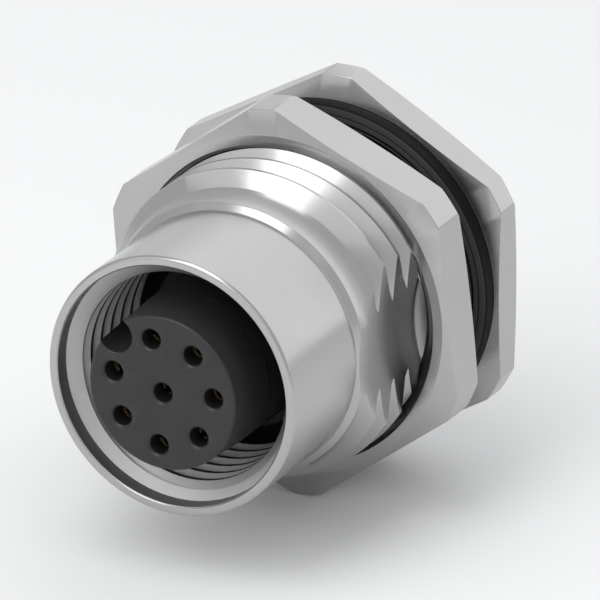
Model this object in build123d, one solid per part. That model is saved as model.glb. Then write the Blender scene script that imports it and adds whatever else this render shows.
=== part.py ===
from build123d import *
import math
import os

# Female panel connector with an M12 mouth and an M16 mounting thread, in millimetres.
# Its axis is Y: the mouth points to -Y, +Z is up, and y = 0 is the plane of the panel's rear face,
# which rests on the gasket.

# Hexagons of the shell's flange and of the nut
hex_across_flats = 18.0
hex_corner_d = 20.0
crown_d = 17.5
crown_angle = 12.0
flange_thickness = 2.0
nut_thickness = 2.7
nut_turn = 7.1

# Mounting thread, whose crests are a plain cylinder here
mount_thread_d = 16.0
mount_thread_pitch = 1.5
mount_thread_reach = 9.0
lead_in_length = 1.4
relief_length = 1.1
relief_slope_length = 0.3
flat_offset = 6.8
nut_clearance = 0.05
nut_countersink_d = 16.5

# Panel that the connector is clamped to
panel_thickness = 2.0
nut_play = 0.05

# Gasket behind the panel
gasket_d = 17.5
gasket_thickness = 0.8
gasket_step = 0.2
gasket_edge = 0.15
gasket_bore_gap = 0.1
land_gap = 0.1

# Barrel and rear collar of the shell
barrel_d = 13.4
barrel_reach = 16.4
rim_bevel = 0.2
rim_inner_bevel = 0.06
neck_length = 0.6
neck_cone_length = 0.26
neck_step = 0.05
collar_d = 14.4
collar_length = 2.0
collar_bevel = 0.3

# Mouth with the coupling thread, whose crests are a plain bore here
counterbore_d = 12.4
counterbore_depth = 0.9
coupling_thread_d = 12.0
coupling_thread_pitch = 1.0
coupling_cone_length = 0.35
mouth_depth = 7.2

# Rear bore that takes the insulators, and its groove for the holder's lug
rear_bore_d = 12.4
fit_clearance = 0.05
lug_width = 1.2
lug_height = 0.3
lug_angle = 90.0
lug_clearance = 0.05

# Front insert
insert_proud = 0.93
insert_face_d = 7.92
insert_base_d = 8.2
insert_length = 3.13
insert_rounding = 0.12
entry_d = 1.0
entry_countersink_d = 1.25
entry_countersink_depth = 0.12
peg_d = 0.7
peg_length = 1.0
peg_circle_d = 2.8
peg_angle = 56.5

# Key groove of the mating face
key_angle = 135.0
key_groove_d = 1.8
key_groove_circle_d = 7.2

# Contact holder behind the carrier, and the seal in front of its flange
shoulder_d = 9.1
shoulder_proud = 0.5
seal_thickness = 1.1
seal_gap = 0.1
holder_flange_length = 3.5

# Rear insulator and the ring that clamps it
insulator_length = 3.5
ring_length = 2.5
ring_bore_d = 9.2
ring_slot_width = 1.2
ring_slot_depth = 0.8
ring_bevel = 0.2

# Contacts: seven on a circle and one in the middle
contact_circle_d = 5.5
contact_step = 49.4
circle_contacts = 7
contact_recess = 1.1
contact_d = 1.24
contact_gap = 0.05
socket_bore_d = 0.8
socket_bore_depth = 6.0
socket_slot_length = 3.6
socket_slot_width = 0.25
socket_bevel = 0.1
collar_ring_d = 1.7
collar_ring_length = 0.9
cup_bore_d = 0.84
cup_depth = 2.2
cup_opening = 1.6
cup_reach = 4.0
saw_overrun = 0.5

# Proportions of metric threads: how deep a pitch cuts
external_thread_depth = 0.6134
internal_thread_depth = 0.5413

# Radii that follow from the sizes above
mount_r = mount_thread_d / 2
mount_root_r = mount_r - external_thread_depth * mount_thread_pitch
neck_r = mount_root_r - neck_step
barrel_r = barrel_d / 2
counterbore_r = counterbore_d / 2
coupling_crest_r = coupling_thread_d / 2 - internal_thread_depth * coupling_thread_pitch
rear_bore_r = rear_bore_d / 2
inner_part_r = rear_bore_r - fit_clearance
shoulder_r = shoulder_d / 2
cavity_r = contact_d / 2 + contact_gap
contact_r = contact_d / 2

# Stations along Y that follow from the sizes above
flange_front = gasket_thickness
flange_back = flange_front + flange_thickness
shell_back = flange_back + collar_length
relief_front = flange_front - relief_length
thread_front = -mount_thread_reach
neck_front = thread_front - neck_length
barrel_back = neck_front - neck_cone_length
rim = -barrel_reach
nut_back = -(panel_thickness + nut_play)
nut_front = nut_back - nut_thickness
counterbore_floor = rim + counterbore_depth
coupling_front = counterbore_floor + coupling_cone_length
seal_seat = rim + mouth_depth
insert_face = rim - insert_proud
insert_back = insert_face + insert_length
shoulder_front = seal_seat - shoulder_proud
holder_flange_front = seal_seat + seal_thickness
holder_back = holder_flange_front + holder_flange_length
insulator_back = holder_back + insulator_length
ring_back = insulator_back + ring_length
contact_front = insert_face + contact_recess
collar_ring_front = holder_back - collar_ring_length


def turned(*outline):
    """A solid turned about the connector's axis, from (radius, y) points."""
    return revolve(make_face(Polyline(*outline, close=True)), Axis.Y)


def rod(radius, front, back, x=0.0, z=0.0):
    """A round bar along Y between two stations."""
    section = Plane.XZ.offset(-back) * Pos(x, z) * Circle(radius)
    return extrude(section, amount=back - front)


def on_circle(diameter, angle):
    """X and Z of a point on a circle about the axis, the angle counted from +X towards +Z."""
    turn = math.radians(angle)
    return diameter / 2 * math.cos(turn), diameter / 2 * math.sin(turn)


def block(width, height, front, back, angle, centre_radius):
    """A bar along Y whose width is across the radius at the given angle."""
    bar = Box(height, back - front, width)
    return Rot(0, -angle, 0) * Pos(centre_radius, (front + back) / 2, 0) * bar


def crowned_hexagon(front, back, turn):
    """A hexagon whose corners are turned off and whose faces fall away outside the crown."""
    crown_r = crown_d / 2
    corner_r = hex_corner_d / 2
    fall = (corner_r - crown_r) * math.tan(math.radians(crown_angle))
    outline = RegularPolygon(hex_across_flats / 2, 6, major_radius=False, rotation=30 + turn)
    prism = extrude(Plane.XZ.offset(-back) * outline, amount=back - front)
    blank = turned(
        (0, front), (crown_r, front), (corner_r, front + fall),
        (corner_r, back - fall), (crown_r, back), (0, back),
    )
    return prism & blank


def contact_places():
    """X, Z and the angle of each contact: the circle counted from the key, then the middle one."""
    half_gap = 180.0 - contact_step * (circle_contacts - 1) / 2
    places = []
    for index in range(circle_contacts):
        angle = key_angle + half_gap + contact_step * index
        places.append((*on_circle(contact_circle_d, angle), angle))
    places.append((0.0, 0.0, key_angle + 180.0))
    return places


def make_shell():
    thread = turned(
        (0, rim), (barrel_r - rim_bevel, rim), (barrel_r, rim + rim_bevel), (barrel_r, barrel_back),
        (neck_r, neck_front), (neck_r, thread_front), (mount_r, thread_front + lead_in_length),
        (mount_r, relief_front), (mount_root_r, relief_front + relief_slope_length),
        (mount_root_r, flange_back), (0, flange_back),
    )
    collar_r = collar_d / 2
    collar = turned(
        (0, flange_front), (collar_r, flange_front), (collar_r, shell_back - collar_bevel),
        (collar_r - collar_bevel, shell_back), (0, shell_back),
    )
    flat_centre = flat_offset + mount_r / 2
    thread -= block(hex_corner_d, mount_r, thread_front - neck_length, flange_front, 0.0, flat_centre)
    body = thread + crowned_hexagon(flange_front, flange_back, 0.0) + collar
    mouth = turned(
        (0, rim), (counterbore_r + rim_inner_bevel, rim), (counterbore_r, rim + rim_inner_bevel),
        (counterbore_r, counterbore_floor), (coupling_crest_r, coupling_front),
        (coupling_crest_r, seal_seat), (rear_bore_r, seal_seat), (rear_bore_r, shell_back), (0, shell_back),
    )
    groove_depth = lug_height + lug_clearance
    groove = block(
        lug_width + 2 * lug_clearance, 2 * groove_depth, holder_flange_front - lug_clearance, shell_back,
        lug_angle, rear_bore_r,
    )
    return body - mouth - groove


def make_panel_nut():
    bore_r = mount_r + nut_clearance
    sink_r = nut_countersink_d / 2
    sink = sink_r - bore_r
    bore = turned(
        (0, nut_front), (sink_r, nut_front), (bore_r, nut_front + sink),
        (bore_r, nut_back - sink), (sink_r, nut_back), (0, nut_back),
    )
    return crowned_hexagon(nut_front, nut_back, nut_turn) - bore


def make_panel_gasket():
    outer_r = gasket_d / 2
    inner_r = mount_root_r + gasket_bore_gap
    land_r = mount_r + land_gap
    return turned(
        (inner_r, flange_front), (outer_r, flange_front), (outer_r, gasket_edge),
        (outer_r - gasket_edge, 0), (land_r, 0), (land_r, gasket_step), (inner_r, gasket_step),
    )


def key_groove(front, back):
    x, z = on_circle(key_groove_circle_d, key_angle)
    return rod(key_groove_d / 2, front, back, x, z)


def rods_at_pegs(radius, front, back):
    bars = Part()
    for side in (-1, 1):
        x, z = on_circle(peg_circle_d, key_angle + side * peg_angle)
        bars += rod(radius, front, back, x, z)
    return bars


def pegs(joint):
    """The two pegs behind the plane where two mouldings meet."""
    return rods_at_pegs(peg_d / 2, joint, joint + peg_length)


def peg_holes(joint):
    return rods_at_pegs(peg_d / 2 + fit_clearance, joint, joint + peg_length + fit_clearance)


def make_front_insert():
    tip = turned(
        (0, insert_face), (insert_face_d / 2, insert_face),
        (insert_base_d / 2, insert_back), (0, insert_back),
    )
    tip = fillet(tip.edges().sort_by(Axis.Y)[0], insert_rounding)
    entry_r = entry_d / 2
    sink_r = entry_countersink_d / 2
    cavity = turned(
        (0, insert_face), (sink_r, insert_face), (entry_r, insert_face + entry_countersink_depth),
        (entry_r, contact_front), (cavity_r, contact_front), (cavity_r, insert_back), (0, insert_back),
    )
    tip -= key_groove(insert_face, insert_back)
    for x, z, angle in contact_places():
        tip -= Pos(x, 0, z) * cavity
    return tip + pegs(insert_back)


def make_contact_carrier():
    body = rod(insert_base_d / 2, insert_back, shoulder_front)
    body -= key_groove(insert_back, shoulder_front)
    body -= peg_holes(insert_back)
    for x, z, angle in contact_places():
        body -= rod(cavity_r, insert_back, shoulder_front, x, z)
    return body + pegs(shoulder_front)


def make_contact_holder():
    body = turned(
        (0, shoulder_front), (shoulder_r, shoulder_front), (shoulder_r, holder_flange_front),
        (inner_part_r, holder_flange_front), (inner_part_r, holder_back), (0, holder_back),
    )
    body += block(lug_width, 2 * lug_height, holder_flange_front, holder_back, lug_angle, inner_part_r)
    body -= peg_holes(shoulder_front)
    ring_r = collar_ring_d / 2 + contact_gap
    cavity = turned(
        (0, shoulder_front), (cavity_r, shoulder_front), (cavity_r, collar_ring_front),
        (ring_r, collar_ring_front), (ring_r, holder_back), (0, holder_back),
    )
    for x, z, angle in contact_places():
        body -= Pos(x, 0, z) * cavity
    return body


def make_interface_seal():
    inner_r = shoulder_r + seal_gap
    return turned(
        (inner_r, seal_seat), (inner_part_r, seal_seat),
        (inner_part_r, holder_flange_front), (inner_r, holder_flange_front),
    )


def make_contact():
    """One contact on the axis, its slot across X and its solder cup open to +X."""
    bore_r = socket_bore_d / 2
    ring_r = collar_ring_d / 2
    bore_floor = contact_front + socket_bore_depth
    body = turned(
        (0, contact_front), (contact_r, contact_front), (contact_r, collar_ring_front),
        (ring_r, collar_ring_front), (ring_r, holder_back), (contact_r, holder_back),
        (contact_r, cup_reach), (0, cup_reach),
    )
    body -= turned(
        (0, contact_front), (bore_r + socket_bevel, contact_front), (bore_r, contact_front + socket_bevel),
        (bore_r, bore_floor), (0, bore_floor),
    )
    body -= rod(cup_bore_d / 2, cup_reach - cup_depth, cup_reach)
    saw_width = contact_d + 2 * saw_overrun
    slot_end = contact_front + socket_slot_length
    body -= block(saw_width, socket_slot_width, contact_front, slot_end, 0.0, 0.0)
    body -= block(saw_width, contact_d, cup_reach - cup_opening, cup_reach, 0.0, contact_r)
    return body


def make_rear_insulator():
    body = turned(
        (0, holder_back), (inner_part_r, holder_back), (inner_part_r, insulator_back - ring_bevel),
        (inner_part_r - ring_bevel, insulator_back), (0, insulator_back),
    )
    for x, z, angle in contact_places():
        body -= rod(cavity_r, holder_back, insulator_back, x, z)
    return body


def make_retaining_ring():
    bore_r = ring_bore_d / 2
    ring = turned(
        (bore_r, insulator_back), (inner_part_r, insulator_back), (inner_part_r, ring_back - ring_bevel),
        (inner_part_r - ring_bevel, ring_back), (bore_r + ring_bevel, ring_back),
        (bore_r, ring_back - ring_bevel),
    )
    return ring - block(2 * rear_bore_d, ring_slot_width, ring_back - ring_slot_depth, ring_back, 0.0, 0.0)


def make_all():
    nodes = {
        "shell": make_shell(),
        "panel_nut": make_panel_nut(),
        "panel_gasket": make_panel_gasket(),
        "front_insert": make_front_insert(),
        "contact_carrier": make_contact_carrier(),
        "contact_holder": make_contact_holder(),
        "interface_seal": make_interface_seal(),
        "rear_insulator": make_rear_insulator(),
        "retaining_ring": make_retaining_ring(),
    }
    contact = make_contact()
    for number, (x, z, angle) in enumerate(contact_places(), start=1):
        nodes[f"contact_{number}"] = Pos(x, 0, z) * Rot(0, -angle, 0) * contact
    return nodes


os.makedirs("parts", exist_ok=True)
for name, solid in make_all().items():
    export_step(solid, f"parts/{name}.step")
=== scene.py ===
import math

import bpy
from mathutils import Matrix, Vector


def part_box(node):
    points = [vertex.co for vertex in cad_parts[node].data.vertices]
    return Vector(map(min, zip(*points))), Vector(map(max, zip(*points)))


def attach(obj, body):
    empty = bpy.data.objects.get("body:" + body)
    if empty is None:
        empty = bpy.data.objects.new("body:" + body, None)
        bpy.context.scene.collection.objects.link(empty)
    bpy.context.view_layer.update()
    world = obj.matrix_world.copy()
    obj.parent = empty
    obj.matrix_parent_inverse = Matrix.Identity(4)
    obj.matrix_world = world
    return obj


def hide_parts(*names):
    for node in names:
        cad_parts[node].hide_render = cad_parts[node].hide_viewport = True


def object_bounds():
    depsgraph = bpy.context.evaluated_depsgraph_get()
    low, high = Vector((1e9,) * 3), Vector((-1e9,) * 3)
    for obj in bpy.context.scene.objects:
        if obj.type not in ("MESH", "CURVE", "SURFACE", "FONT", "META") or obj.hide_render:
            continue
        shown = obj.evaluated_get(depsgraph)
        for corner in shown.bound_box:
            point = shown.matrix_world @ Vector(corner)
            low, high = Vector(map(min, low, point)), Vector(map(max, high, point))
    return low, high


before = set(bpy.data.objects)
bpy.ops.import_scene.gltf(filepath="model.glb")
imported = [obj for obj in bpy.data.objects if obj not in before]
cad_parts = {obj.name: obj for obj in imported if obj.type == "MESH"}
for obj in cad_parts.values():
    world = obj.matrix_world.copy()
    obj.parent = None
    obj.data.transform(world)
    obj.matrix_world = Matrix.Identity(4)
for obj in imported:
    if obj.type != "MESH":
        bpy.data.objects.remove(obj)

bl_info = {
    "name": "Panel connector dresser",
    "version": (1, 0, 0),
    "blender": (4, 5, 0),
    "location": "3D View > Sidebar > Connector",
    "description": "Models and finishes the pieces of a threaded panel connector on its packed frame",
    "category": "Object",
}

cad_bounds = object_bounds()

# Outlines are drawn in millimetres and each finished mesh is scaled to metres
MM = 0.001
WELD = 0.0004
FLATNESS = 0.000001
TURN = 2 * math.pi
SEGMENTS = 192
KEY_SEGMENTS = 96
CONTACT_SEGMENTS = 48

# How far a cutter reaches past what it cuts: on the metal pieces, and at the contacts' holes
OVERCUT = 1.0
HOLE_OVERCUT = 0.5

# How deep a metric internal thread cuts, as a share of its pitch
INTERNAL_THREAD_DEPTH = 0.5413


def front_of(node):
    """The Y of a node's foremost point, in millimetres."""
    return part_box(node)[0].y / MM


def back_of(node):
    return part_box(node)[1].y / MM


# Stations along Y that the frame gives
rim = front_of("shell")
shell_back = back_of("shell")
nut_front = front_of("panel_nut")
nut_back = back_of("panel_nut")
gasket_front = front_of("panel_gasket")
flange_front = back_of("panel_gasket")
insert_face = front_of("front_insert")
carrier_front = front_of("contact_carrier")
holder_front = front_of("contact_holder")
seal_seat = front_of("interface_seal")
holder_flange_front = back_of("interface_seal")
holder_back = back_of("contact_holder")
insulator_back = back_of("rear_insulator")
ring_back = back_of("retaining_ring")
contact_front = front_of("contact_8")
contact_back = back_of("contact_8")

# Hexagons, whose corners are turned off by a flat cone
flange_thickness = 2.0
flange_back = flange_front + flange_thickness
hex_corner_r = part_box("shell")[1].z / MM
hex_flat_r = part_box("shell")[1].x / MM
crown_r = 8.75
crown_angle = math.radians(12.0)
crown_fall = (hex_corner_r - crown_r) * math.tan(crown_angle)
nut_turn = math.radians(7.1)

# Mounting thread on the shell
mount_r = 8.0
mount_pitch = 1.5
mount_root_r = 7.08
root_offset = 0.02
mount_groove_y = -6.26
thread_front = -9.0
lead_in_back = -7.6
relief_front = -0.3
relief_slope = 0.3
flat_x = 6.8
flat_depth = 4.0

# The nut's thread, which meshes with the shell's
nut_sink_r = 8.25
thread_play = 0.05
groove_play = 0.14

# Gasket
gasket_step = 0.2
gasket_land_gap = 0.1
gasket_line_insets = (0.85, 0.45)
gasket_inner_edge = 0.05
gasket_land_edge = 0.06
gasket_front_edge = 0.15

# Barrel and collar
barrel_r = 6.7
barrel_back = -9.86
neck_front = -9.6
neck_r = 7.03
collar_r = 7.2
rim_bevel = 0.2
collar_bevel = 0.3
soft_edge = 0.1

# Mouth with the coupling thread
counterbore_r = 6.2
rim_inner_bevel = 0.06
counterbore_floor = rim + 0.9
coupling_front = counterbore_floor + 0.35
coupling_crest_r = 5.459
coupling_r = 6.0
coupling_pitch = 1.0
coupling_groove_y = -15.26

# Rear bore with the retaining ring's thread
rear_bore_r = 6.2
rear_thread_r = 6.5
rear_thread_pitch = 0.75
rear_part_r = 6.15
keyway_width = 1.3
keyway_r = 6.55
ring_bore_r = 4.6
ring_slot_width = 1.2
ring_slot_depth = 0.8
ring_edge = 0.15

# Insert, carrier and holder
insert_face_r = 3.96
insert_face_edge = 0.14
insert_back_edge = 0.03
insert_r = 4.1
carrier_edge = 0.05
insulator_edge = 0.2
entry_r = 0.5
entry_sink_r = 0.625
entry_sink_depth = 0.12
sink_edge = 0.03
cavity_r = 0.67
key_angle = 135.0
key_r = 0.9
key_circle_r = 3.6

# Contacts
contact_circle_r = 2.75
contact_step = 49.4
circle_contacts = 7
contact_r = 0.62
contact_edge = 0.06
socket_r = 0.4
socket_flare = 0.1
socket_depth = 6.0
socket_slot_length = 3.6
socket_slot_width = 0.25
collar_ring_r = 0.85
collar_ring_length = 0.9
collar_ring_edge = 0.05
cup_r = 0.42
cup_depth = 2.2
cup_opening = 1.6

# The photograph's view: a nearly parallel one, whose middle looks at the target
view_back = Vector((0.4245, -0.8203, 0.3835))
view_right = Vector((0.8881, 0.4596, 0.0))
view_up = Vector((-0.17625, 0.34059, 0.9235))
view_target = Vector((0, -2.01, 0)) - 0.387 * view_right - 0.700 * view_up
view_width = 29.321
camera_lens = 1000.0
camera_sensor = 36.0


class PieceSizes(bpy.types.PropertyGroup):
    """Sizes of the dressed pieces that a user may want to change."""

    edge_rounding: bpy.props.FloatProperty(
        name="Edge rounding", description="Radius of the turned metal edges",
        default=0.06 * MM, min=0.01 * MM, max=0.15 * MM, unit="LENGTH", precision=5,
    )
    thread_root_rounding: bpy.props.FloatProperty(
        name="Thread root rounding", description="Cut corner at the bottom of the mounting thread",
        default=0.07 * MM, min=0.01 * MM, max=0.1 * MM, unit="LENGTH", precision=5,
    )
    gasket_line_depth: bpy.props.FloatProperty(
        name="Gasket line depth", description="Depth of the two fine rings on the gasket's front",
        default=0.05 * MM, min=0.01 * MM, max=0.1 * MM, unit="LENGTH", precision=5,
    )


class Finishes(bpy.types.PropertyGroup):
    """Colours and gloss of the surfaces."""

    nickel: bpy.props.FloatVectorProperty(
        name="Nickel", description="Colour of the plated metal", subtype="COLOR",
        default=(0.45, 0.448, 0.446), min=0, max=1,
    )
    nickel_roughness: bpy.props.FloatProperty(
        name="Nickel roughness", description="Blur of the reflections in the plating",
        default=0.2, min=0, max=1, subtype="FACTOR",
    )
    mouth_dullness: bpy.props.FloatProperty(
        name="Mouth dullness", description="Roughness that boring and tapping add inside the mouth",
        default=0.25, min=0, max=1, subtype="FACTOR",
    )
    # Painted shade: this is plated gold darkened to about a third, standing in for the shade deep inside the
    # insert's holes.
    shaded_gold: bpy.props.FloatVectorProperty(
        name="Gold", description="Colour of the plated contacts", subtype="COLOR",
        default=(0.30, 0.21, 0.09), min=0, max=1,
    )
    insert_grey: bpy.props.FloatVectorProperty(
        name="Insert grey", description="Colour of the moulded front insert", subtype="COLOR",
        default=(0.014, 0.014, 0.014), min=0, max=1,
    )
    carrier_black: bpy.props.FloatVectorProperty(
        name="Carrier black", description="Colour of the moulded parts behind the insert", subtype="COLOR",
        default=(0.012, 0.012, 0.013), min=0, max=1,
    )
    rubber_black: bpy.props.FloatVectorProperty(
        name="Rubber black", description="Colour of the gasket and the seal", subtype="COLOR",
        default=(0.006, 0.006, 0.006), min=0, max=1,
    )
    # Painted light: the gasket's front face is painted this paler grey as a lit face, standing in for the
    # light that the narrow gap between the nut and the flange shades off.
    painted_light_rubber: bpy.props.FloatVectorProperty(
        name="Ground rubber", description="Colour of the gasket's ground front face", subtype="COLOR",
        default=(0.06, 0.06, 0.06), min=0, max=1,
    )


class Stage(bpy.types.PropertyGroup):
    """The floor and the lights."""

    floor: bpy.props.FloatVectorProperty(
        name="Floor", description="Colour of the pale floor", subtype="COLOR",
        default=(0.85, 0.855, 0.86), min=0, max=1,
    )
    room: bpy.props.FloatProperty(
        name="Room", description="Brightness of the room all round the part",
        default=0.7, min=0, max=5,
    )
    window: bpy.props.FloatProperty(
        name="Window", description="Brightness that the bright wall behind the part adds",
        default=0.6, min=0, max=5,
    )
    front_power: bpy.props.FloatProperty(
        name="Front light", description="Power of the large soft light in front",
        default=0.11, min=0, unit="POWER",
    )
    key_power: bpy.props.FloatProperty(
        name="Key light", description="Power of the tall light above the front",
        default=0.17, min=0, unit="POWER",
    )


# Modelling helpers


def deselect():
    if bpy.context.object and bpy.context.object.mode != "OBJECT":
        bpy.ops.object.mode_set(mode="OBJECT")
    bpy.ops.object.select_all(action="DESELECT")


def pick(piece):
    deselect()
    piece.select_set(True)
    bpy.context.view_layer.objects.active = piece


def apply_modifier(piece, kind, **settings):
    pick(piece)
    modifier = piece.modifiers.new(kind.lower(), kind)
    for name, value in settings.items():
        setattr(modifier, name, value)
    bpy.ops.object.modifier_apply(modifier=modifier.name)


def close_mesh(piece):
    """Merges the doubles and points every face outwards."""
    pick(piece)
    bpy.ops.object.mode_set(mode="EDIT")
    bpy.ops.mesh.select_all(action="SELECT")
    bpy.ops.mesh.remove_doubles(threshold=WELD)
    bpy.ops.mesh.normals_make_consistent(inside=False)
    bpy.ops.object.mode_set(mode="OBJECT")


def drawn_line(name, points, closed):
    """A line through (radius, y) points in the XY plane, extruded from one vertex."""
    deselect()
    bpy.ops.mesh.primitive_plane_add(size=1, location=(0, 0, 0))
    piece = bpy.context.object
    piece.name = name
    bpy.ops.object.mode_set(mode="EDIT")
    bpy.ops.mesh.select_all(action="SELECT")
    bpy.ops.mesh.merge(type="CENTER")
    bpy.ops.transform.translate(value=(*points[0][:2], 0))
    ends = list(points[1:])
    if closed:
        ends.append(points[0])
    for here, there in zip(points, ends):
        step = (there[0] - here[0], there[1] - here[1], 0)
        bpy.ops.mesh.extrude_vertices_move(TRANSFORM_OT_translate={"value": step})
    bpy.ops.mesh.select_all(action="SELECT")
    bpy.ops.mesh.remove_doubles(threshold=WELD)
    bpy.ops.object.mode_set(mode="OBJECT")
    return piece


def with_rounds(*corners, steps=4):
    """Outline points from (radius, y) corners, where a third number rounds the corner with an arc."""
    points = []
    for index, corner in enumerate(corners):
        here = Vector(corner[:2])
        if len(corner) == 2:
            points.append(here)
            continue
        to_last = (Vector(corners[index - 1][:2]) - here).normalized()
        to_next = (Vector(corners[(index + 1) % len(corners)][:2]) - here).normalized()
        half = to_last.angle(to_next) / 2
        centre = here + (to_last + to_next).normalized() * corner[2] / math.sin(half)
        reach = corner[2] / math.tan(half)
        start = here + to_last * reach - centre
        end = here + to_next * reach - centre
        sweep = start.angle(end)
        for step in range(steps + 1):
            share = sweep * step / steps
            spoke = (start * math.sin(sweep - share) + end * math.sin(share)) / math.sin(sweep)
            points.append(centre + spoke)
    return points


def turned(name, points, tube=False, segments=SEGMENTS):
    """A solid turned about Y. A tube's outline closes on itself, any other starts and ends on the axis."""
    piece = drawn_line(name, points, closed=tube)
    bpy.ops.object.mode_set(mode="EDIT")
    bpy.ops.mesh.select_all(action="SELECT")
    bpy.ops.mesh.spin(steps=segments, angle=TURN, center=(0, 0, 0), axis=(0, 1, 0))
    bpy.ops.object.mode_set(mode="OBJECT")
    close_mesh(piece)
    return piece


def groove_cutter(mouth_r, root_r, mouth_width, root_width, pitch, first_y, turns, overrun=0.5, rounding=0.0):
    """The groove of a right-hand thread: its section, which runs on past the mouth, wound about Y."""
    outwards = 1 if mouth_r > root_r else -1
    outer = mouth_r + outwards * overrun
    corners = [(outer, first_y - mouth_width / 2), (mouth_r, first_y - mouth_width / 2)]
    corner = (rounding,) if rounding else ()
    corners += [(root_r, first_y - root_width / 2, *corner), (root_r, first_y + root_width / 2, *corner)]
    corners += [(mouth_r, first_y + mouth_width / 2), (outer, first_y + mouth_width / 2)]
    cutter = drawn_line("groove", with_rounds(*corners, steps=2), closed=True)
    apply_modifier(
        cutter, "SCREW", axis="Y", angle=TURN, screw_offset=pitch, iterations=turns,
        steps=SEGMENTS, render_steps=SEGMENTS, use_merge_vertices=False,
    )
    bpy.ops.object.mode_set(mode="EDIT")
    bpy.ops.mesh.select_all(action="SELECT")
    bpy.ops.mesh.fill_holes(sides=0)
    bpy.ops.object.mode_set(mode="OBJECT")
    close_mesh(cutter)
    return cutter


def internal_groove(crest_r, root_r, pitch, first_y, turns, overrun=0.4, play=0.0):
    """The groove of a thread inside a bore, which leaves a quarter of the pitch flat at the crest."""
    return groove_cutter(
        crest_r, root_r, pitch * 0.75 + play, pitch / 8 + play, pitch, first_y, turns, overrun=overrun,
    )


def rod(name, radius, front, back, x=0.0, z=0.0, flare=0.0, segments=CONTACT_SEGMENTS):
    """A round bar along Y, with a flare at its front where it cuts a hole with a broken edge."""
    deselect()
    bpy.ops.mesh.primitive_cylinder_add(
        vertices=segments, radius=radius, depth=back - front,
        location=(x, (front + back) / 2, z), rotation=(math.pi / 2, 0, 0),
    )
    bar = bpy.context.object
    bar.name = name
    if flare:
        bpy.ops.object.mode_set(mode="EDIT")
        bpy.ops.mesh.select_all(action="SELECT")
        bpy.ops.mesh.bisect(plane_co=(x, front + flare, z), plane_no=(0, 1, 0))
        bpy.ops.object.mode_set(mode="OBJECT")
        select_vertices(bar, lambda place: place.y < front + flare / 2)
        bpy.ops.object.mode_set(mode="EDIT")
        scale = (radius + flare) / radius
        bpy.ops.transform.resize(value=(scale, 1, scale), center_override=(x, front, z))
        bpy.ops.object.mode_set(mode="OBJECT")
    place_in_mesh(bar)
    return bar


def select_vertices(piece, test):
    """Selects the vertices whose place passes the test, and nothing else."""
    pick(piece)
    bpy.ops.object.mode_set(mode="EDIT")
    bpy.ops.mesh.select_all(action="DESELECT")
    bpy.ops.object.mode_set(mode="OBJECT")
    for vertex in piece.data.vertices:
        vertex.select = bool(test(piece.matrix_world @ vertex.co))


def block(name, size, centre, turn=0.0):
    """A bar with its size along X, Y and Z, turned about Y by an angle counted from +X towards +Z."""
    deselect()
    bpy.ops.mesh.primitive_cube_add(size=1, location=(0, 0, 0))
    bar = bpy.context.object
    bar.name = name
    bar.scale = size
    bpy.ops.object.transform_apply(scale=True)
    bar.data.transform(Matrix.Rotation(-turn, 4, "Y") @ Matrix.Translation(centre))
    return bar


def place_in_mesh(piece):
    pick(piece)
    bpy.ops.object.transform_apply(location=True, rotation=True, scale=True)


def combine(piece, other, operation):
    """Joins, cuts or intersects a piece with another, which is used up."""
    apply_modifier(piece, "BOOLEAN", object=other, operation=operation, solver="EXACT")
    bpy.data.objects.remove(other)
    close_mesh(piece)


def cut(piece, *cutters):
    for cutter in cutters:
        combine(piece, cutter, "DIFFERENCE")


def crowned_hexagon(name, front, back, turn, rounding):
    """A hexagon with rounded upright edges, whose corners are turned off at both faces."""
    deselect()
    bpy.ops.mesh.primitive_cylinder_add(
        vertices=6, radius=hex_flat_r / math.cos(math.pi / 6), depth=back - front,
        location=(0, (front + back) / 2, 0), rotation=(math.pi / 2, -turn, 0),
    )
    prism = bpy.context.object
    place_in_mesh(prism)
    apply_modifier(
        prism, "BEVEL", width=rounding, segments=3, limit_method="ANGLE", angle_limit=math.radians(50),
    )
    blank = turned(name, with_rounds(
        (0, front), (crown_r, front, rounding), (hex_corner_r, front + crown_fall, rounding),
        (hex_corner_r, back - crown_fall, rounding), (crown_r, back, rounding), (0, back),
    ))
    combine(blank, prism, "INTERSECT")
    return blank


def on_circle(radius, degrees):
    turn = math.radians(degrees)
    return radius * math.cos(turn), radius * math.sin(turn)


def contact_places():
    """X, Z and the angle of each contact: the circle counted from the key, then the middle one."""
    half_gap = 180.0 - contact_step * (circle_contacts - 1) / 2
    for index in range(circle_contacts):
        degrees = key_angle + half_gap + contact_step * index
        yield (*on_circle(contact_circle_r, degrees), degrees)
    yield (0.0, 0.0, key_angle + 180.0)


def hand_over(piece, node, slot, smooth=35.0):
    """Scales a finished piece to metres, gives it its finish, and lets it stand for its node."""
    pick(piece)
    bpy.ops.object.shade_smooth_by_angle(angle=math.radians(smooth))
    piece.scale = (MM, MM, MM)
    bpy.ops.object.transform_apply(scale=True)
    piece.data.materials.clear()
    piece.data.materials.append(finish_of(slot))
    body = "nut" if node == "panel_nut" else "connector"
    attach(piece, body)
    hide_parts(node)


# Shader helpers


class Socket:
    """A shader output that adds, multiplies and is raised to a power as numbers are."""

    def __init__(self, shading, output):
        self.shading = shading
        self.output = output

    def _math(self, operation, first, second):
        return self.shading.node("ShaderNodeMath", {"operation": operation}, {0: first, 1: second})

    def __add__(self, other):
        return self._math("ADD", self, other)

    def __mul__(self, other):
        return self._math("MULTIPLY", self, other)

    def __pow__(self, other):
        return self._math("POWER", self, other)

    __radd__ = __add__
    __rmul__ = __mul__


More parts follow.
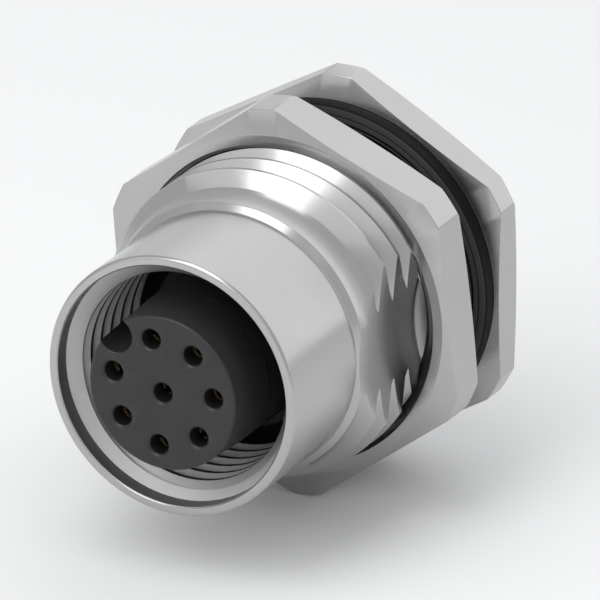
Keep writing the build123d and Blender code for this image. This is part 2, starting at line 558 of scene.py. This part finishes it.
class Shading:
    """A node tree whose nodes all come from node()."""

    def __init__(self, tree):
        self.tree = tree

    def node(self, kind, settings=None, inputs=None, output=0):
        node = self.tree.nodes.new(kind)
        for name, value in (settings or {}).items():
            setattr(node, name, value)
        self.fill(node, inputs or {})
        return Socket(self, node.outputs[output])

    def fill(self, node, inputs):
        for socket, value in inputs.items():
            if isinstance(value, Socket):
                self.tree.links.new(value.output, node.inputs[socket])
            else:
                node.inputs[socket].default_value = value

    def split(self, vector):
        parts = self.node("ShaderNodeSeparateXYZ", inputs={0: vector}).output.node
        return [Socket(self, parts.outputs[axis]) for axis in range(3)]

    def combined(self, x, y, z):
        return self.node("ShaderNodeCombineXYZ", inputs={0: x, 1: y, 2: z})

    def noise(self, vector, scale, detail=2.0, roughness=0.5):
        inputs = {"Vector": vector, "Scale": scale, "Detail": detail, "Roughness": roughness}
        return self.node("ShaderNodeTexNoise", {"noise_dimensions": "3D"}, inputs)

    def ramp(self, factor, low, high, from_value, to_value):
        """Maps low..high of a value onto from_value..to_value, smoothly and held at the ends."""
        inputs = {"Value": factor, 1: low, 2: high, 3: from_value, 4: to_value}
        return self.node("ShaderNodeMapRange", {"interpolation_type": "SMOOTHSTEP"}, inputs)

    def mixed(self, factor, first, second):
        node = self.tree.nodes.new("ShaderNodeMix")
        node.data_type = "RGBA"
        self.fill(node, {0: factor, 6: first, 7: second})
        return Socket(self, node.outputs[2])

    def bump(self, height, distance, strength=1.0):
        """A bump whose height is in millimetres times distance."""
        inputs = {"Strength": strength, "Distance": distance * MM, "Height": height}
        return self.node("ShaderNodeBump", inputs=inputs)


class Finish(Shading):
    """A material with one Principled shader."""

    def __init__(self, name, constants):
        self.material = bpy.data.materials.new(name)
        self.material.use_nodes = True
        super().__init__(self.material.node_tree)
        self.shader = self.tree.nodes["Principled BSDF"]
        for socket, value in constants.items():
            self.shader.inputs[socket].default_value = value

    def surface(self, inputs):
        self.fill(self.shader, inputs)

    def place(self):
        """The point's X, Y and Z in millimetres."""
        return [part * (1 / MM) for part in self.split(self.node("ShaderNodeTexCoord", output=3))]


def rgba(colour, factor=1.0):
    return (*(min(channel * factor, 1.0) for channel in colour), 1.0)


def nickel_finish(look):
    """Nickel plating over turned brass: fine rings from the lathe under a soft, even gloss."""
    finish = Finish("nickel_plating_finish", {"Metallic": 1.0})
    x, y, z = finish.place()
    radius = (x * x + z * z) ** 0.5
    rings = finish.noise(finish.combined(radius * 9.0, y * 9.0, 0.0), 1.0, 3.0, 0.6)
    haze = finish.noise(finish.combined(x, y, z), 0.35, 2.0)
    grain = finish.noise(finish.combined(x, y, z), 14.0, 3.0, 0.6)
    roughness = finish.ramp(haze, 0.3, 0.7, look.nickel_roughness - 0.015, look.nickel_roughness + 0.02)
    tone = finish.ramp(haze, 0.35, 0.65, 0.0, 1.0)
    height = rings * 0.6 + grain * 0.4
    mouth = finish.ramp(radius, counterbore_r + 0.02, counterbore_r + 0.05, 1.0, 0.0)
    mouth = mouth * finish.ramp(y, seal_seat - 0.5, seal_seat, 1.0, 0.0)
    finish.surface({
        "Base Color": finish.mixed(tone, rgba(look.nickel), rgba(look.nickel, 0.98)),
        "Roughness": roughness + finish.ramp(grain, 0.45, 0.75, 0.0, 0.03) + mouth * look.mouth_dullness,
        "Normal": finish.bump(height, 0.002),
    })
    return finish.material


# The base colour carries painted shade: the darkened gold stands in for the shade inside the insert's holes.
def gold_finish(look):
    finish = Finish("gold_plating_finish", {"Metallic": 1.0})
    x, y, z = finish.place()
    grain = finish.noise(finish.combined(x * 6.0, y * 14.0, z * 6.0), 1.0, 3.0)
    tone = finish.ramp(grain, 0.3, 0.7, 0.0, 1.0)
    finish.surface({
        "Base Color": finish.mixed(tone, rgba(look.shaded_gold), rgba(look.shaded_gold, 0.9)),
        "Roughness": finish.ramp(grain, 0.3, 0.7, 0.18, 0.28),
        "Normal": finish.bump(grain, 0.003),
    })
    return finish.material


def moulded_finish(slot, colour, roughness, gloss, grain_scale, depth):
    """Moulded plastic: a fine grain and a faint unevenness of tone."""
    finish = Finish(f"{slot}_finish", {"Specular IOR Level": gloss})
    x, y, z = finish.place()
    place = finish.combined(x, y, z)
    grain = finish.noise(place, grain_scale, 3.0, 0.6)
    cloud = finish.noise(place, 0.5, 2.0)
    tone = finish.ramp(cloud, 0.35, 0.65, 0.0, 1.0)
    finish.surface({
        "Base Color": finish.mixed(tone, rgba(colour), rgba(colour, 1.12)),
        "Roughness": finish.ramp(grain, 0.3, 0.7, roughness - 0.04, roughness + 0.05),
        "Normal": finish.bump(grain, depth),
    })
    return finish.material


def rubber_finish(look):
    """Moulded rubber. The gasket's front face between its fine rings is painted a paler grey as painted
    light, standing in for the light that the gap between the nut and the flange shades off.
    """
    finish = Finish("black_rubber_finish", {"Specular IOR Level": 0.1})
    x, y, z = finish.place()
    grain = finish.noise(finish.combined(x, y, z), 7.0, 3.0, 0.6)
    # Painted light: the mask of the gasket's front face, which gets the paler, lit-looking grey.
    painted_light_mask = finish.ramp(y, gasket_front + 0.01, gasket_front + 0.04, 1.0, 0.0)
    painted_light_mask = painted_light_mask * finish.ramp(y, gasket_front - 1.0, gasket_front - 0.5, 0.0, 1.0)
    finish.surface({
        "Base Color": finish.mixed(painted_light_mask, rgba(look.rubber_black), rgba(look.painted_light_rubber)),
        "Roughness": finish.ramp(grain, 0.3, 0.7, 0.51, 0.6),
        "Normal": finish.bump(grain, 0.008),
    })
    return finish.material


def finish_of(slot):
    """The finish of one of the record's five slots, made when it is first asked for."""
    found = bpy.data.materials.get(f"{slot}_finish")
    if found:
        return found
    look = bpy.context.scene.connector_finishes
    makers = {
        "nickel_plating": lambda: nickel_finish(look),
        "gold_plating": lambda: gold_finish(look),
        "grey_plastic": lambda: moulded_finish("grey_plastic", look.insert_grey, 0.42, 0.5, 9.0, 0.006),
        "black_plastic": lambda: moulded_finish("black_plastic", look.carrier_black, 0.4, 0.4, 9.0, 0.006),
        "black_rubber": lambda: rubber_finish(look),
    }
    return makers[slot]()


# One operator for each piece


class CONNECTOR_OT_shell(bpy.types.Operator):
    """Turn the shell, mill its hexagon and flat, and cut its threads and the rear keyway"""

    bl_idname = "connector.shell"
    bl_label = "Shell"

    def execute(self, context):
        sizes = context.scene.connector_sizes
        edge = sizes.edge_rounding / MM
        shell = turned("threaded_shell", with_rounds(
            (counterbore_r + rim_inner_bevel, rim), (barrel_r, rim, rim_bevel),
            (barrel_r, barrel_back, soft_edge), (neck_r, neck_front, edge), (neck_r, thread_front),
            (mount_r, lead_in_back), (mount_r, relief_front), (mount_root_r, relief_front + relief_slope),
            (mount_root_r, flange_front), (collar_r, flange_front), (collar_r, shell_back, collar_bevel),
            (rear_bore_r, shell_back, soft_edge), (rear_bore_r, seal_seat, edge),
            (coupling_crest_r, seal_seat, edge), (coupling_crest_r, coupling_front, edge),
            (counterbore_r, counterbore_floor), (counterbore_r, rim + rim_inner_bevel),
        ), tube=True)
        flange = crowned_hexagon("flange", flange_front, flange_back, 0.0, edge)
        core_r = (mount_root_r + rear_bore_r) / 2
        cut(flange, rod("core", core_r, flange_front - OVERCUT, flange_back + OVERCUT, segments=SEGMENTS))
        combine(shell, flange, "UNION")
        flat_front = thread_front - OVERCUT
        keyway_back = shell_back + OVERCUT
        cut(
            shell,
            block(
                "flat", (flat_depth, flange_front - flat_front, 2 * hex_corner_r),
                (flat_x + flat_depth / 2, (flange_front + flat_front) / 2, 0),
            ),
            groove_cutter(
                mount_r, mount_root_r + root_offset, mount_pitch * 0.875, mount_pitch / 6, mount_pitch,
                mount_groove_y - 3 * mount_pitch, 7, rounding=sizes.thread_root_rounding / MM,
            ),
            internal_groove(
                coupling_crest_r, coupling_r, coupling_pitch, coupling_groove_y - coupling_pitch, 8,
            ),
            internal_groove(
                rear_bore_r, rear_thread_r, rear_thread_pitch, insulator_back + rear_thread_pitch / 2, 8,
            ),
            block(
                "keyway", (2 * (keyway_r - rear_bore_r), keyway_back - holder_flange_front, keyway_width),
                (rear_bore_r, (keyway_back + holder_flange_front) / 2, 0), turn=math.pi / 2,
            ),
        )
        hand_over(shell, "shell", "nickel_plating")
        # The flat is shaded flat right up to the grooves
        select_vertices(shell, lambda place: abs(place.x - flat_x * MM) < FLATNESS)
        bpy.ops.object.mode_set(mode="EDIT")
        bpy.ops.mesh.faces_shade_flat()
        bpy.ops.object.mode_set(mode="OBJECT")
        apply_modifier(shell, "WEIGHTED_NORMAL", keep_sharp=True)
        return {"FINISHED"}


class CONNECTOR_OT_panel_nut(bpy.types.Operator):
    """Model the hexagon nut and cut a thread in it that meshes with the shell's"""

    bl_idname = "connector.panel_nut"
    bl_label = "Panel nut"

    def execute(self, context):
        edge = context.scene.connector_sizes.edge_rounding / MM
        nut = crowned_hexagon("hexagon_nut", nut_front, nut_back, nut_turn, edge)
        minor_r = mount_r - INTERNAL_THREAD_DEPTH * mount_pitch + root_offset
        sink = nut_sink_r - minor_r
        cut(nut, turned("bore", with_rounds(
            (0, nut_front - OVERCUT), (nut_sink_r + OVERCUT, nut_front - OVERCUT), (nut_sink_r, nut_front),
            (minor_r, nut_front + sink), (minor_r, nut_back - sink),
            (nut_sink_r, nut_back), (nut_sink_r + OVERCUT, nut_back + OVERCUT), (0, nut_back + OVERCUT),
        )))
        cut(nut, internal_groove(
            minor_r, mount_r + thread_play, mount_pitch, mount_groove_y + mount_pitch / 2, 4,
            overrun=0.3, play=groove_play,
        ))
        hand_over(nut, "panel_nut", "nickel_plating")
        apply_modifier(nut, "WEIGHTED_NORMAL", keep_sharp=True)
        return {"FINISHED"}


class CONNECTOR_OT_panel_gasket(bpy.types.Operator):
    """Turn the gasket with its rounded edge and the fine rings on its front"""

    bl_idname = "connector.panel_gasket"
    bl_label = "Panel gasket"

    def execute(self, context):
        depth = context.scene.connector_sizes.gasket_line_depth / MM
        outer_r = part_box("panel_gasket")[1].x / MM
        inner_r = mount_root_r + gasket_land_gap
        land_r = mount_r + gasket_land_gap
        lines = []
        for inset in gasket_line_insets:
            line_r = outer_r - inset
            lines += [(line_r - depth, gasket_front), (line_r, gasket_front + depth)]
            lines += [(line_r + depth, gasket_front)]
        gasket = turned("sealing_gasket", with_rounds(
            (inner_r, flange_front, gasket_inner_edge), (inner_r, gasket_step, gasket_inner_edge),
            (land_r, gasket_step), (land_r, gasket_front, gasket_land_edge), *lines,
            (outer_r, gasket_front, gasket_front_edge), (outer_r, flange_front, soft_edge),
        ), tube=True)
        hand_over(gasket, "panel_gasket", "black_rubber")
        return {"FINISHED"}


def entry_cutters(front, back):
    """The stepped holes that the contacts stand in, with a sink at each entry."""
    start = front - HOLE_OVERCUT
    for x, z, _ in contact_places():
        hole = turned("entry", with_rounds(
            (0, start), (entry_sink_r + 0.05, start), (entry_sink_r + 0.05, front),
            (entry_sink_r - sink_edge, front + sink_edge), (entry_r, front + entry_sink_depth, sink_edge),
            (entry_r, contact_front), (cavity_r, contact_front), (cavity_r, back), (0, back), steps=2,
        ))
        hole.data.transform(Matrix.Translation((x, 0, z)))
        yield hole


def key_cutter(front, back, flare=0.0):
    """The round groove along the insert that the plug's key slides in."""
    x, z = on_circle(key_circle_r, key_angle)
    return rod("key", key_r, front, back, x, z, flare=flare, segments=KEY_SEGMENTS)


def cavity_cutters(front, back):
    """The plain holes that carry the contacts through a moulding."""
    for x, z, _ in contact_places():
        yield rod("cavity", cavity_r, front - HOLE_OVERCUT, back + HOLE_OVERCUT, x, z)


class CONNECTOR_OT_front_insert(bpy.types.Operator):
    """Model the insert's tip with its key groove and its eight entries"""

    bl_idname = "connector.front_insert"
    bl_label = "Front insert"

    def execute(self, context):
        tip = turned("socket_insert", with_rounds(
            (0, insert_face), (insert_face_r, insert_face, insert_face_edge),
            (insert_r, carrier_front, insert_back_edge), (0, carrier_front),
        ))
        back = carrier_front + HOLE_OVERCUT
        cut(tip, key_cutter(insert_face, back, flare=0.05), *entry_cutters(insert_face, back))
        hand_over(tip, "front_insert", "grey_plastic")
        return {"FINISHED"}


class CONNECTOR_OT_contact_carrier(bpy.types.Operator):
    """Model the black body behind the insert"""

    bl_idname = "connector.contact_carrier"
    bl_label = "Contact carrier"

    def execute(self, context):
        body = turned("carrier_body", with_rounds(
            (0, carrier_front), (insert_r, carrier_front, carrier_edge),
            (insert_r, holder_front), (0, holder_front),
        ))
        cut(
            body, key_cutter(carrier_front - HOLE_OVERCUT, holder_front + HOLE_OVERCUT),
            *cavity_cutters(carrier_front, holder_front),
        )
        hand_over(body, "contact_carrier", "black_plastic")
        return {"FINISHED"}


class CONNECTOR_OT_rear_insulator(bpy.types.Operator):
    """Model the disc behind the holder, which the solder cups reach out of"""

    bl_idname = "connector.rear_insulator"
    bl_label = "Rear insulator"

    def execute(self, context):
        disc = turned("insulator_disc", with_rounds(
            (0, holder_back), (rear_part_r, holder_back),
            (rear_part_r, insulator_back, insulator_edge), (0, insulator_back),
        ))
        cut(disc, *cavity_cutters(holder_back, insulator_back))
        hand_over(disc, "rear_insulator", "black_plastic")
        return {"FINISHED"}


class CONNECTOR_OT_retaining_ring(bpy.types.Operator):
    """Turn the ring that clamps the insulators, and saw the slot for its key across it"""

    bl_idname = "connector.retaining_ring"
    bl_label = "Retaining ring"

    def execute(self, context):
        edge = context.scene.connector_sizes.edge_rounding / MM
        ring = turned("clamping_ring", with_rounds(
            (ring_bore_r, insulator_back, edge), (rear_part_r, insulator_back, edge),
            (rear_part_r, ring_back, ring_edge), (ring_bore_r, ring_back, ring_edge),
        ), tube=True)
        cut(ring, block(
            "slot", (4 * rear_bore_r, 2 * ring_slot_depth, ring_slot_width), (0, ring_back, 0),
            turn=math.pi / 2,
        ))
        hand_over(ring, "retaining_ring", "nickel_plating")
        return {"FINISHED"}


class CONNECTOR_OT_contacts(bpy.types.Operator):
    """Model one slotted socket with its solder cup, and copy it to the eight places"""

    bl_idname = "connector.contacts"
    bl_label = "Contacts"

    def execute(self, context):
        ring_front = holder_back - collar_ring_length
        floor = contact_front + socket_depth
        pin = turned("socket_contact", with_rounds(
            (0, contact_front), (contact_r, contact_front, contact_edge), (contact_r, ring_front),
            (collar_ring_r, ring_front, collar_ring_edge), (collar_ring_r, holder_back, collar_ring_edge),
            (contact_r, holder_back), (contact_r, contact_back, contact_edge), (0, contact_back), steps=2,
        ), segments=CONTACT_SEGMENTS)
        bore = turned("bore", with_rounds(
            (0, contact_front - socket_flare), (socket_r + 2 * socket_flare, contact_front - socket_flare),
            (socket_r, contact_front + socket_flare), (socket_r, floor), (0, floor + socket_r * 0.6),
        ), segments=CONTACT_SEGMENTS)
        opening = 2 * contact_r
        cut(
            pin, bore, rod("cup", cup_r, contact_back - cup_depth, contact_back + HOLE_OVERCUT),
            block("saw", (socket_slot_width, 2 * socket_slot_length, 2 * opening), (0, contact_front, 0)),
            block("scoop", (opening, 2 * cup_opening, 2 * opening), (contact_r, contact_back, 0)),
        )
        for number, (x, z, degrees) in enumerate(contact_places(), start=1):
            pick(pin)
            bpy.ops.object.duplicate()
            copy = bpy.context.object
            copy.name = f"socket_contact_{number}"
            facing = Matrix.Rotation(-math.radians(degrees), 4, "Y")
            copy.data.transform(Matrix.Translation((x, 0, z)) @ facing)
            hand_over(copy, f"contact_{number}", "gold_plating")
        bpy.data.objects.remove(pin)
        return {"FINISHED"}


class CONNECTOR_OT_carried_over(bpy.types.Operator):
    """Give the holder and the seal, which stay as built, their finishes"""

    bl_idname = "connector.carried_over"
    bl_label = "Inner pieces"

    def execute(self, context):
        finishes = {"contact_holder": "black_plastic", "interface_seal": "black_rubber"}
        for node, name in finishes.items():
            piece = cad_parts[node]
            piece.data.materials.clear()
            piece.data.materials.append(finish_of(name))
        return {"FINISHED"}


def area_light(name, place, target, width, height, power, colour=(1, 1, 1)):
    """A soft rectangular light, placed and aimed in millimetres."""
    deselect()
    bpy.ops.object.light_add(type="AREA", location=Vector(place) * MM)
    lamp = bpy.context.object
    lamp.name = name
    lamp.data.shape = "RECTANGLE"
    lamp.data.size = width * MM
    lamp.data.size_y = height * MM
    lamp.data.energy = power
    lamp.data.color = colour
    direction = Vector(target) - Vector(place)
    lamp.rotation_euler = direction.to_track_quat("-Z", "Y").to_euler()
    return lamp


def studio_room(scene, stage):
    """The light from all round: a bright wall behind the part that fades to the left and to the front."""
    world = scene.world or bpy.data.worlds.new("studio")
    scene.world = world
    world.use_nodes = True
    shading = Shading(world.node_tree)
    x, y, z = shading.split(shading.node("ShaderNodeTexCoord", output=0))
    wall = shading.ramp(y, 0.0, 0.7, 0.0, 1.0) * shading.ramp(x, -0.7, -0.25, 0.1, 1.0)
    background = world.node_tree.nodes["Background"]
    background.inputs["Color"].default_value = (0.99, 0.995, 1, 1)
    shading.fill(background, {"Strength": wall * stage.window + stage.room})


class CONNECTOR_OT_stage(bpy.types.Operator):
    """Lay the pale floor, hang the soft lights and set up the photograph's view"""

    bl_idname = "connector.stage"
    bl_label = "Stage"

    def execute(self, context):
        stage = context.scene.connector_stage
        deselect()
        bpy.ops.mesh.primitive_plane_add(size=6.0, location=(0, 0, cad_bounds[0][2] - 0.02 * MM))
        floor = context.object
        floor.name = "studio_floor"
        pale = Finish("studio_floor", {
            "Base Color": rgba(stage.floor), "Roughness": 0.9, "Specular IOR Level": 0.0,
        })
        floor.data.materials.append(pale.material)
        studio_room(context.scene, stage)
        area_light("front_light", (-59, -232, 122), (0, -10, 0), 440, 200, stage.front_power)
        area_light("key_light", (-26, -113, 170), (0, -10, 0), 105, 240, stage.key_power)
        bpy.ops.object.camera_add()
        camera = context.object
        camera.data.lens = camera_lens
        camera.data.sensor_width = camera_sensor
        distance = view_width * camera_lens / camera_sensor
        camera.data.clip_end = 10.0
        turn = Matrix((view_right, view_up, view_back)).transposed().to_4x4()
        camera.matrix_world = Matrix.Translation((view_target + view_back * distance) * MM) @ turn
        context.scene.camera = camera
        context.scene.view_settings.view_transform = "Standard"
        return {"FINISHED"}


class CONNECTOR_PT_pieces(bpy.types.Panel):
    """Lists the pieces and the stage"""

    bl_idname = "CONNECTOR_PT_pieces"
    bl_label = "Connector"
    bl_space_type = "VIEW_3D"
    bl_region_type = "UI"
    bl_category = "Connector"

    def draw(self, context):
        for operator in operators:
            self.layout.operator(operator.bl_idname)
        for name, group in settings.items():
            box = self.layout.box()
            for key in group.__annotations__:
                box.prop(getattr(context.scene, name), key)


operators = [
    CONNECTOR_OT_shell,
    CONNECTOR_OT_panel_nut,
    CONNECTOR_OT_panel_gasket,
    CONNECTOR_OT_front_insert,
    CONNECTOR_OT_contact_carrier,
    CONNECTOR_OT_rear_insulator,
    CONNECTOR_OT_retaining_ring,
    CONNECTOR_OT_contacts,
    CONNECTOR_OT_carried_over,
    CONNECTOR_OT_stage,
]
settings = {
    "connector_sizes": PieceSizes,
    "connector_finishes": Finishes,
    "connector_stage": Stage,
}


def register():
    for name, group in settings.items():
        bpy.utils.register_class(group)
        setattr(bpy.types.Scene, name, bpy.props.PointerProperty(type=group))
    for operator in operators:
        bpy.utils.register_class(operator)
    bpy.utils.register_class(CONNECTOR_PT_pieces)


def unregister():
    bpy.utils.unregister_class(CONNECTOR_PT_pieces)
    for operator in reversed(operators):
        bpy.utils.unregister_class(operator)
    for name, group in settings.items():
        delattr(bpy.types.Scene, name)
        bpy.utils.unregister_class(group)


def main():
    register()
    for operator in operators:
        group, name = operator.bl_idname.split(".")
        getattr(getattr(bpy.ops, group), name)()


if __name__ == "__main__":
    main()
